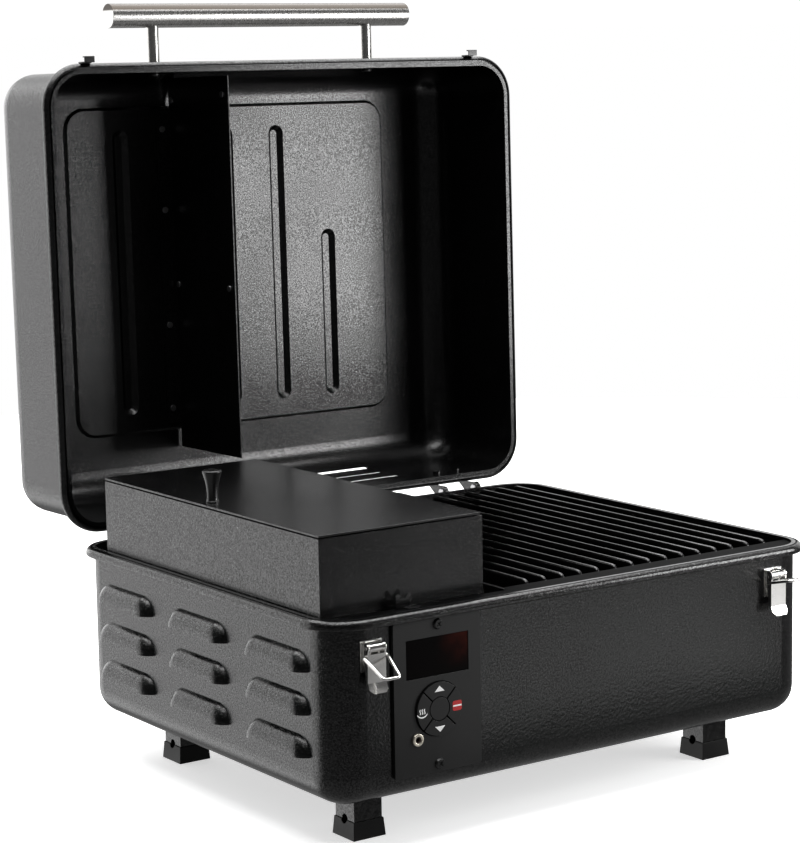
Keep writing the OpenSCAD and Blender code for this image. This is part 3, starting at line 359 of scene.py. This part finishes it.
def make_materials():
    """Every material by name: coated sheet, bare metal, moulded parts, printed marks and the display."""
    black, soot = (0.0016, 0.0016, 0.0017), (0.006, 0.006, 0.0062)
    coats = {
        "coat_black": (black, soot, 0.19, 430.0, 0.00016, 0.00005),
        "coat_lid": (black, soot, 0.24, 520.0, 0.0001, 0.00004),
        "coat_hopper": (black, soot, 0.23, 900.0, 0.00003, 0.00007),
        "coat_inside": (black, soot, 0.3, 900.0, 0.00004),
        "enamel_black": (black, soot, 0.28, 400.0, 0.00005),
        "grate_iron": (grey(0.001), grey(0.003), 0.11, 260.0, 0.00003),
    }
    metals = {
        "steel_plain": ((0.42, 0.42, 0.43), 0.38),
        "motor_metal": ((0.4, 0.41, 0.43), 0.42),
        "fastener_steel": ((0.5, 0.5, 0.51), 0.3),
        "latch_nickel": ((0.86, 0.85, 0.83), 0.14, 1800.0, 0.03),
        "socket_metal": ((0.9, 0.84, 0.72), 0.3, 1800.0, 0.03),
    }
    mouldings = {
        "coat_ledge": (black, soot, 0.5, 900.0, 0.00004, 0.008),
        "fan_plastic": (grey(0.008), grey(0.013), 0.5),
        "black_steel": (grey(0.003), grey(0.008), 0.26),
        "knob_plastic": (grey(0.004), grey(0.008), 0.25),
        "panel_face": (grey(0.004), grey(0.007), 0.42, 2400.0, 0.00002),
        "board_green": ((0.01, 0.05, 0.02), (0.02, 0.07, 0.03), 0.4),
        "button_plastic": (grey(0.004), grey(0.007), 0.4, 2400.0, 0.00002),
        "inlet_plastic": (grey(0.008), grey(0.013), 0.45),
        "foot_rubber": (grey(0.004), grey(0.008), 0.5, 1600.0, 0.00005, 0.25),
        "socket_dark": ((0.02, 0.008, 0.004), (0.03, 0.013, 0.007), 0.3),
    }
    inks = {"ink_white": ((0.85, 0.85, 0.84),), "ink_red": ((0.42, 0.022, 0.022),)}
    materials = {"handle_steel": brushed_bar("handle_steel"), "display_red": display_glass("display_red")}
    for make, group in ((powder_coat, coats), (plain_metal, metals), (moulded, mouldings), (ink, inks)):
        for name, values in group.items():
            materials[name] = make(name, *values)
    return materials


def dress_frame():
    """Gives each CAD node the material of its slot."""
    for part in frame["record"]["subparts"]:
        mesh = frame["nodes"][part["node"]].data
        mesh.materials.clear()
        mesh.materials.append(MATERIALS[COATS.get(part["node"], part["material_slot"])])


# ---------- mesh helpers ----------

def slot_of(node):
    """The record's material slot for a node."""
    return next(p["material_slot"] for p in frame["record"]["subparts"] if p["node"] == node)


def body_of(node):
    """The moving or fixed body that holds a node."""
    return next(b for b, nodes in frame["record"]["behaviour"]["bodies"].items() if node in nodes)


def finish_piece(name, bm, body, slot, nodes=(), crease=40, material=None):
    """Makes the piece from its mesh, gives it a material, and lets it ride on its body."""
    bmesh.ops.recalc_face_normals(bm, faces=bm.faces)
    limit = math.radians(crease)
    for face in bm.faces:
        face.smooth = True
    for edge in bm.edges:
        edge.smooth = edge.is_manifold and edge.calc_face_angle(math.pi) < limit
    mesh = bpy.data.meshes.new(name)
    bm.to_mesh(mesh)
    bm.free()
    mesh.materials.append(MATERIALS[material or COATS.get(next(iter(nodes), None), slot)])
    piece = bpy.data.objects.new(name, mesh)
    bpy.context.scene.collection.objects.link(piece)
    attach(piece, body)
    if nodes:
        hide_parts(*nodes)
    return piece


def rounded_copy(node, width):
    """Stands in for a CAD node with the same shape, its sharp edges rounded by width."""
    sharp_from = math.radians(25)
    source = frame["nodes"][node]
    bm = bmesh.new()
    bm.from_mesh(source.data)
    bm.transform(source.matrix_world)
    bmesh.ops.remove_doubles(bm, verts=bm.verts, dist=0.002 * MM)
    bmesh.ops.dissolve_limit(bm, angle_limit=math.radians(0.5), verts=bm.verts, edges=bm.edges)
    sharp = [e for e in bm.edges if e.is_manifold and e.calc_face_angle(0) > sharp_from]
    bmesh.ops.bevel(bm, geom=sharp, offset=width, segments=2, profile=0.5, affect="EDGES",
                    clamp_overlap=True)
    piece = finish_piece(node + "_soft", bm, body_of(node), slot_of(node), [node])
    weighted = piece.modifiers.new("weighted", "WEIGHTED_NORMAL")
    weighted.keep_sharp = True
    weighted.weight = 60


def loft(bm, rings):
    """Skins closed rings of equal length and closes both ends."""
    rows = [[bm.verts.new(p) for p in ring] for ring in rings]
    count = len(rows[0])
    for a, b in zip(rows, rows[1:]):
        for i in range(count):
            j = (i + 1) % count
            bm.faces.new((a[i], a[j], b[j], b[i]))
    bm.faces.new(rows[0][::-1])
    bm.faces.new(rows[-1])


def lathe(bm, profile, turn, steps=40):
    """Turns a profile of (radius, height) round the axis of turn, a matrix.

    The profile starts and ends on the axis.
    """
    middle = profile[1:-1]
    bottom = bm.verts.new(turn @ Vector((0, 0, profile[0][1])))
    top = bm.verts.new(turn @ Vector((0, 0, profile[-1][1])))
    rows = []
    for i in range(steps):
        a = 2 * math.pi * i / steps
        rows.append([bm.verts.new(turn @ Vector((r * math.cos(a), r * math.sin(a), h))) for r, h in middle])
    for i in range(steps):
        a, b = rows[i], rows[(i + 1) % steps]
        bm.faces.new((bottom, b[0], a[0]))
        for k in range(len(middle) - 1):
            bm.faces.new((a[k], b[k], b[k + 1], a[k + 1]))
        bm.faces.new((top, a[-1], b[-1]))


def pointing(place, axis):
    """A matrix that takes +Z to axis, at place."""
    return Matrix.Translation(place) @ Vector(axis).to_track_quat("Z", "Y").to_matrix().to_4x4()


def arc_points(centre, radius, start, end, steps):
    """2D points of an arc, angles in degrees."""
    angles = [math.radians(start + (end - start) * i / steps) for i in range(steps + 1)]
    return [(centre[0] + radius * math.cos(a), centre[1] + radius * math.sin(a)) for a in angles]


def rounded_path(corners, radii, steps):
    """3D points of a polyline whose inner corners are rounded."""
    points = [Vector(corners[0])]
    for before, corner, after, radius in zip(corners, corners[1:], corners[2:], radii):
        corner = Vector(corner)
        a = (Vector(before) - corner).normalized()
        b = (Vector(after) - corner).normalized()
        half = a.angle(b) / 2
        reach = radius / math.tan(half)
        centre = corner + (a + b).normalized() * radius / math.sin(half)
        first, last = corner + a * reach - centre, corner + b * reach - centre
        for i in range(steps + 1):
            points.append(centre + first.slerp(last, i / steps).normalized() * radius)
    points.append(Vector(corners[-1]))
    return points


def tube(bm, points, radius, sides):
    """A round wire that follows points, with closed ends."""
    rings = []
    count = len(points)
    across = None
    for i, point in enumerate(points):
        along = (points[min(i + 1, count - 1)] - points[max(i - 1, 0)]).normalized()
        across = across or along.orthogonal().normalized()
        across = (across - along * across.dot(along)).normalized()
        other = along.cross(across)
        ring = [point + radius * (math.cos(a) * across + math.sin(a) * other)
                for a in (2 * math.pi * k / sides for k in range(sides))]
        rings.append(ring)
    loft(bm, rings)


# ---------- pieces ----------

def soften_frame():
    """Rounds the sharp edges of sheet parts, buttons and fasteners. Widths are in millimetres."""
    widths = {
        "hopper_box": 0.55, "hopper_lid": 0.55, "front_ledge": 0.3, "lid_divider": 0.3, "control_panel": 0.4,
        "latch_bases": 0.25, "latch_lever_left": 0.3, "latch_lever_right": 0.3, "latch_pins": 0.3,
        "tub_hinge_brackets": 0.4, "lid_hinge_brackets": 0.4, "foot_tubes": 0.8, "foot_caps": 0.7,
        "probe_clip": 0.3, "lid_catches": 0.3, "power_inlet": 0.4, "button_up": 0.3, "button_down": 0.3,
        "button_left": 0.3, "button_right": 0.3, "button_centre": 0.3, "display_lens": 0.2,
        "handle_bar": 0.6, "handle_posts": 0.25, "handle_screws": 1.2, "panel_screws": 0.35,
        "divider_rivets": 0.7, "hinge_bolts": 0.4, "tub_hinge_screws": 0.4, "hinge_pins": 0.4,
    }
    for node, width in widths.items():
        rounded_copy(node, width * MM)


def joint_pos(name):
    """Where a joint's axis passes, from the record."""
    joints = frame["record"]["behaviour"]["joints"]
    return Vector(next(j["pos_m"] for j in joints if j["name"] == name))


def prism(bm, outline, back, front, inset):
    """A flat mark: an (X, Z) outline run along Y from back to front, its front edge drawn in by inset."""
    middle = Vector((sum(p[0] for p in outline), sum(p[1] for p in outline))) / len(outline)
    rings = []
    for y, shrink in ((back, 0.0), (front, inset)):
        ring = []
        for p in outline:
            towards = middle - Vector(p)
            q = Vector(p) + towards.normalized() * min(shrink, towards.length)
            ring.append(Vector((q.x, y, q.y)))
        rings.append(ring)
    loft(bm, rings)


def build_grate():
    """Rounded bars whose front ends step down on to the front rod, two more rods and small welds."""
    lo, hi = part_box("grate")
    count, bar_half = 15, 2.5 * MM
    rod, rod_soft = 6 * MM, 1.5 * MM
    middle_rod = lo[1] + 198 * MM
    bar_gap, rod_gap, corner_trim = 0.6 * MM, 0.3 * MM, 6 * MM
    rod_level, tip, step = 0.45, 0.5, 5.5
    height = hi[2] - lo[2]
    pitch = (hi[0] - lo[0] - 2 * bar_half) / (count - 1)
    half_section = [(0.55, 0), (0.7, 0.84), (0.62, 0.92), (0.44, 0.975), (0.18, 1)]
    section = half_section + [(-u, v) for u, v in reversed(half_section)]
    weld = [(0, -1.3 * MM), (1.1 * MM, -0.8 * MM), (1.5 * MM, 0), (1.1 * MM, 0.9 * MM), (0, 1.4 * MM)]
    turns = [math.radians(a) for a in (0, 20, 38, 54, 70, 90)]
    front_end = [(tip + step * (1 - math.cos(a)), rod_level + (1 - rod_level) * math.sin(a)) for a in turns]
    bm = bmesh.new()
    for i in range(count):
        x = lo[0] + bar_half + i * pitch
        back = hi[1] - (corner_trim if i == count - 1 else bar_gap)
        steps = [(lo[1] + d * MM, k) for d, k in front_end]
        steps += [(back - d * MM, k) for d, k in reversed(front_end)]
        loft(bm, [[Vector((x + u * bar_half, y, lo[2] + v * height * k)) for u, v in section]
                  for y, k in steps])
        for side in (-1, 1):
            place = (x + side * 2.3 * MM, middle_rod + rod / 2, lo[2] + rod)
            lathe(bm, weld, Matrix.Translation(place), 10)
    near, far = rod_soft, rod - rod_soft
    corners = ((far, far, 0), (near, far, 90), (near, near, 180), (far, near, 270))
    outline = [p for cy, cz, a in corners for p in arc_points((cy, cz), rod_soft, a, a + 90, 3)]
    for y, trim in ((lo[1], rod_gap), (middle_rod, rod_gap), (hi[1] - rod, corner_trim)):
        loft(bm, [[Vector((x, y + p[0], lo[2] + p[1])) for p in outline] for x in (lo[0], hi[0] - trim)])
    finish_piece("grate_bars", bm, "grill_grate", "grate_iron", ["grate"], crease=50)


def build_bails():
    """Bent wire loops on the latch levers."""
    wire, length, far_half = 1.3 * MM, 28 * MM, 7.9 * MM
    end = 7.7 * MM
    tilts = {"left": 30, "right": -13}
    for side, tilt in tilts.items():
        node = "latch_bail_" + side
        lo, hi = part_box(node)
        near_half = (hi[0] - lo[0]) / 2 - wire * 1.08
        corners = [(end, 0, 0), (near_half, 0, 0), (far_half, -length, 0), (-far_half, -length, 0),
                   (-near_half, 0, 0), (-end, 0, 0)]
        tilted = Matrix.Rotation(math.radians(tilt), 4, "X")
        turn = Matrix.Translation(joint_pos(f"bail_{side}_swing")) @ tilted
        points = [turn @ p for p in rounded_path(corners, [2.0 * MM, 3.4 * MM, 3.4 * MM, 2.0 * MM], 8)]
        bm = bmesh.new()
        tube(bm, points, wire, 16)
        finish_piece(node + "_wire", bm, "bail_" + side, "latch_nickel", [node])


def build_knob():
    """Trumpet-shaped knob with a softly rounded head and a small collar."""
    lo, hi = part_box("hopper_knob")
    place = ((lo[0] + hi[0]) / 2, (lo[1] + hi[1]) / 2, lo[2])
    collar = [(0, 0), (5.6, 0), (5.6, 1.2), (5.1, 1.7)]
    neck = [(4.9, 4), (4.9, 8), (5.2, 12), (5.8, 16), (6.7, 20), (7.6, 23)]
    head = arc_points((7.0, 26.4), 1.5, -20, 80, 6)
    profile = [(r * MM, h * MM) for r, h in collar + neck + head + [(4.0, 28.0), (0, 28.0)]]
    bm = bmesh.new()
    lathe(bm, profile, Matrix.Translation(place), 48)
    finish_piece("knob_turned", bm, body_of("hopper_knob"), "knob_plastic", ["hopper_knob"])


def build_socket():
    """Turned probe jack: a pale ring with rounded edges round a brown insert with a deep bore."""
    lo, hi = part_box("probe_socket")
    face = ((lo[0] + hi[0]) / 2, lo[1], (lo[2] + hi[2]) / 2)
    deep = (hi[1] - lo[1]) / MM
    turn = pointing(face, (0, -1, 0))
    ring = [(0, -13), (2.8, -13), (2.8, -0.6), (3.0, -0.15), (3.3, 0), (4.7, 0), (5.1, -0.15), (5.35, -0.5),
            (5.4, -0.9), (5.4, -2.0), (4.0, -2.0), (4.0, -deep), (0, -deep)]
    insert = [(0, -12.5), (1.75, -12.5), (1.75, -0.9), (1.95, -0.6), (2.5, -0.6), (2.7, -0.8), (2.7, -12.9),
              (0, -12.9)]
    pieces = (
        ("socket_ring", ring, "socket_metal", ["probe_socket"]),
        ("socket_insert", insert, "socket_dark", []),
    )
    for name, profile, material, nodes in pieces:
        bm = bmesh.new()
        lathe(bm, [(r * MM, h * MM) for r, h in profile], turn)
        finish_piece(name, bm, "base", "socket_metal", nodes, crease=30, material=material)


def mark(name, key, outlines, material, lift=0.12):
    """Printed marks on a button's face, from (X, Z) outlines in millimetres about the pad's centre."""
    sunk, soft = 0.1 * MM, 0.08 * MM
    lo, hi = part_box("button_centre")
    centre = Vector(((lo[0] + hi[0]) / 2, (lo[2] + hi[2]) / 2))
    bm = bmesh.new()
    for outline in outlines:
        flat = [centre + Vector(p) * MM for p in outline]
        prism(bm, flat, lo[1] + sunk, lo[1] - lift * MM, soft)
    finish_piece(name, bm, key, "button_plastic", material=material)


def bar_outline(x, z, w, h):
    """A level bar of width w and height h, centred at x and z."""
    return [(x - w / 2, z - h / 2), (x + w / 2, z - h / 2), (x + w / 2, z + h / 2), (x - w / 2, z + h / 2)]


def wave_outline(x, z, w, h, sway):
    """A thin wavy upright stroke."""
    steps = [i / 10 for i in range(11)]
    middle = [(x + sway * math.sin(2 * math.pi * t), z - h / 2 + h * t) for t in steps]
    return [(mx - w / 2, mz) for mx, mz in middle] + [(mx + w / 2, mz) for mx, mz in reversed(middle)]


def build_marks():
    """Arrows, a warm-dish symbol and a red patch on the ring of buttons."""
    mark("mark_up", "key_up", [[(-5, 14.6), (5, 14.6), (0, 19.4)]], "ink_white")
    mark("mark_down", "key_down", [[(5, -14.6), (-5, -14.6), (0, -19.4)]], "ink_white")
    waves = [wave_outline(-17.5 + dx, 0.2, 0.9, 4.4, 0.35) for dx in (-2.2, 0, 2.2)]
    outer = arc_points((-17.5, 1.0), 6.2, 215, 325, 10)
    inner = arc_points((-17.5, 1.9), 6.0, 325, 215, 10)
    mark("mark_left", "key_left", waves + [outer + inner], "ink_white")
    patch = [p for cx, cz, a in ((20.3, 2.4, 0), (14.7, 2.4, 90), (14.7, -2.4, 180), (20.3, -2.4, 270))
             for p in arc_points((cx, cz), 1.8, a, a + 90, 4)]
    mark("mark_right", "key_right", [patch], "ink_red")
    mark("mark_right_bar", "key_right", [bar_outline(17.5, 0, 8.6, 1.3)], "ink_white", 0.2)


# ---------- finish ----------


MATERIALS = make_materials()
place_camera()
build_stage()
light_stage()
dress_frame()
soften_frame()
build_grate()
build_bails()
build_knob()
build_socket()
build_marks()
